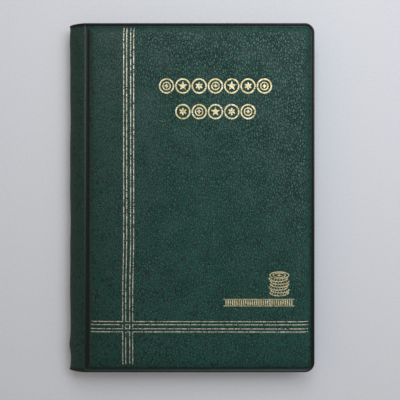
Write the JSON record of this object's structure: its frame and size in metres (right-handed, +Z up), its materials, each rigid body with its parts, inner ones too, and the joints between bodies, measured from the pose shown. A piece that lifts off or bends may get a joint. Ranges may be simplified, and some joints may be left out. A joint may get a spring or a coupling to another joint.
{
  "type": "coin album",
  "caption": "Pocket-size coin album: padded vinyl covers with a soft welded spine and clear sheets of coin pockets that open flat like a book.",
  "frame": {"origin": "on the table under the middle of the closed album, at the centre of its underside box", "axes": "+X from the spine to the fore edge, +Y up the page, +Z up out of the front cover; the album lies closed on its back cover"},
  "size_m": [0.127, 0.18, 0.015],
  "materials": {
    "cover_vinyl": "embossed leather-grain vinyl, satin",
    "lining_vinyl": "smooth calendered vinyl film, satin",
    "foam": "open soft foam sheet, hidden",
    "board": "grey pressed board, hidden",
    "clear_film": "clear soft vinyl film, glossy",
    "binding_film": "clear soft vinyl film, welded in layers",
    "gold_foil": "hot-stamped pale gold foil"
  },
  "bodies": {
    "back_cover": {"back_outer_skin": "cover_vinyl", "back_foam_pad": "foam", "back_board": "board", "back_lining": "lining_vinyl"},
    "spine_lower_half": {"spine_skin_lower": "cover_vinyl", "spine_lining_lower": "lining_vinyl"},
    "spine_upper_half": {"spine_skin_upper": "cover_vinyl", "spine_lining_upper": "lining_vinyl"},
    "front_cover": {"front_outer_skin": "cover_vinyl", "front_foam_pad": "foam", "front_board": "board", "front_lining": "lining_vinyl"},
    "binding": {"page_binding": "binding_film"},
    "sheet_1": {"sheet_1_film": "clear_film", "sheet_1_pockets_1": "clear_film", "sheet_1_pockets_2": "clear_film", "sheet_1_pockets_3": "clear_film", "sheet_1_pockets_4": "clear_film"},
    "sheet_2": {"sheet_2_film": "clear_film", "sheet_2_pockets_1": "clear_film", "sheet_2_pockets_2": "clear_film", "sheet_2_pockets_3": "clear_film", "sheet_2_pockets_4": "clear_film"},
    "sheet_3": {"sheet_3_film": "clear_film", "sheet_3_pockets_1": "clear_film", "sheet_3_pockets_2": "clear_film", "sheet_3_pockets_3": "clear_film", "sheet_3_pockets_4": "clear_film"},
    "sheet_4": {"sheet_4_film": "clear_film", "sheet_4_pockets_1": "clear_film", "sheet_4_pockets_2": "clear_film", "sheet_4_pockets_3": "clear_film", "sheet_4_pockets_4": "clear_film"},
    "sheet_5": {"sheet_5_film": "clear_film", "sheet_5_pockets_1": "clear_film", "sheet_5_pockets_2": "clear_film", "sheet_5_pockets_3": "clear_film", "sheet_5_pockets_4": "clear_film"},
    "sheet_6": {"sheet_6_film": "clear_film", "sheet_6_pockets_1": "clear_film", "sheet_6_pockets_2": "clear_film", "sheet_6_pockets_3": "clear_film", "sheet_6_pockets_4": "clear_film"},
    "sheet_7": {"sheet_7_film": "clear_film", "sheet_7_pockets_1": "clear_film", "sheet_7_pockets_2": "clear_film", "sheet_7_pockets_3": "clear_film", "sheet_7_pockets_4": "clear_film"},
    "sheet_8": {"sheet_8_film": "clear_film", "sheet_8_pockets_1": "clear_film", "sheet_8_pockets_2": "clear_film", "sheet_8_pockets_3": "clear_film", "sheet_8_pockets_4": "clear_film"}
  },
  "joints": [
    {"name": "back_hinge", "type": "hinge", "parent": "back_cover", "child": "spine_lower_half", "pos_m": [-0.05496, 0, 0.00305], "axis": [0, -1, 0], "range_deg": [0, 26.96]},
    {"name": "spine_fold", "type": "hinge", "parent": "spine_lower_half", "child": "spine_upper_half", "pos_m": [-0.06371, 0, 0.0075], "axis": [0, -1, 0], "range_deg": [0, 126.09]},
    {"name": "front_hinge", "type": "hinge", "parent": "spine_upper_half", "child": "front_cover", "pos_m": [-0.05496, 0, 0.01195], "axis": [0, -1, 0], "range_deg": [0, 26.96]},
    {"name": "binding_turn", "type": "hinge", "parent": "spine_lower_half", "child": "binding", "pos_m": [-0.06371, 0, 0.0075], "axis": [0, -1, 0], "range_deg": [0, 63.04]},
    {"name": "sheet_1_turn", "type": "hinge", "parent": "binding", "child": "sheet_1", "pos_m": [-0.05481, 0, 0.004], "axis": [0, 1, 0], "range_deg": [0, 94]},
    {"name": "sheet_2_turn", "type": "hinge", "parent": "binding", "child": "sheet_2", "pos_m": [-0.05381, 0, 0.005], "axis": [0, 1, 0], "range_deg": [0, 93.2]},
    {"name": "sheet_3_turn", "type": "hinge", "parent": "binding", "child": "sheet_3", "pos_m": [-0.05281, 0, 0.006], "axis": [0, 1, 0], "range_deg": [0, 92.4]},
    {"name": "sheet_4_turn", "type": "hinge", "parent": "binding", "child": "sheet_4", "pos_m": [-0.05181, 0, 0.007], "axis": [0, 1, 0], "range_deg": [0, 91.6]},
    {"name": "sheet_5_turn", "type": "hinge", "parent": "binding", "child": "sheet_5", "pos_m": [-0.05181, 0, 0.008], "axis": [0, -1, 0], "range_deg": [0, 91.6]},
    {"name": "sheet_6_turn", "type": "hinge", "parent": "binding", "child": "sheet_6", "pos_m": [-0.05281, 0, 0.009], "axis": [0, -1, 0], "range_deg": [0, 92.4]},
    {"name": "sheet_7_turn", "type": "hinge", "parent": "binding", "child": "sheet_7", "pos_m": [-0.05381, 0, 0.01], "axis": [0, -1, 0], "range_deg": [0, 93.2]},
    {"name": "sheet_8_turn", "type": "hinge", "parent": "binding", "child": "sheet_8", "pos_m": [-0.05481, 0, 0.011], "axis": [0, -1, 0], "range_deg": [0, 94]}
  ],
  "couplings": [
    {"joint": "back_hinge", "follows": "spine_fold", "ratio": 0.21379},
    {"joint": "front_hinge", "follows": "spine_fold", "ratio": 0.21379},
    {"joint": "binding_turn", "follows": "spine_fold", "ratio": 0.5},
    {"joint": "sheet_1_turn", "follows": "spine_fold", "ratio": 0.74552},
    {"joint": "sheet_2_turn", "follows": "spine_fold", "ratio": 0.73917},
    {"joint": "sheet_3_turn", "follows": "spine_fold", "ratio": 0.73283},
    {"joint": "sheet_4_turn", "follows": "spine_fold", "ratio": 0.72648},
    {"joint": "sheet_5_turn", "follows": "spine_fold", "ratio": 0.72648},
    {"joint": "sheet_6_turn", "follows": "spine_fold", "ratio": 0.73283},
    {"joint": "sheet_7_turn", "follows": "spine_fold", "ratio": 0.73917},
    {"joint": "sheet_8_turn", "follows": "spine_fold", "ratio": 0.74552}
  ]
}
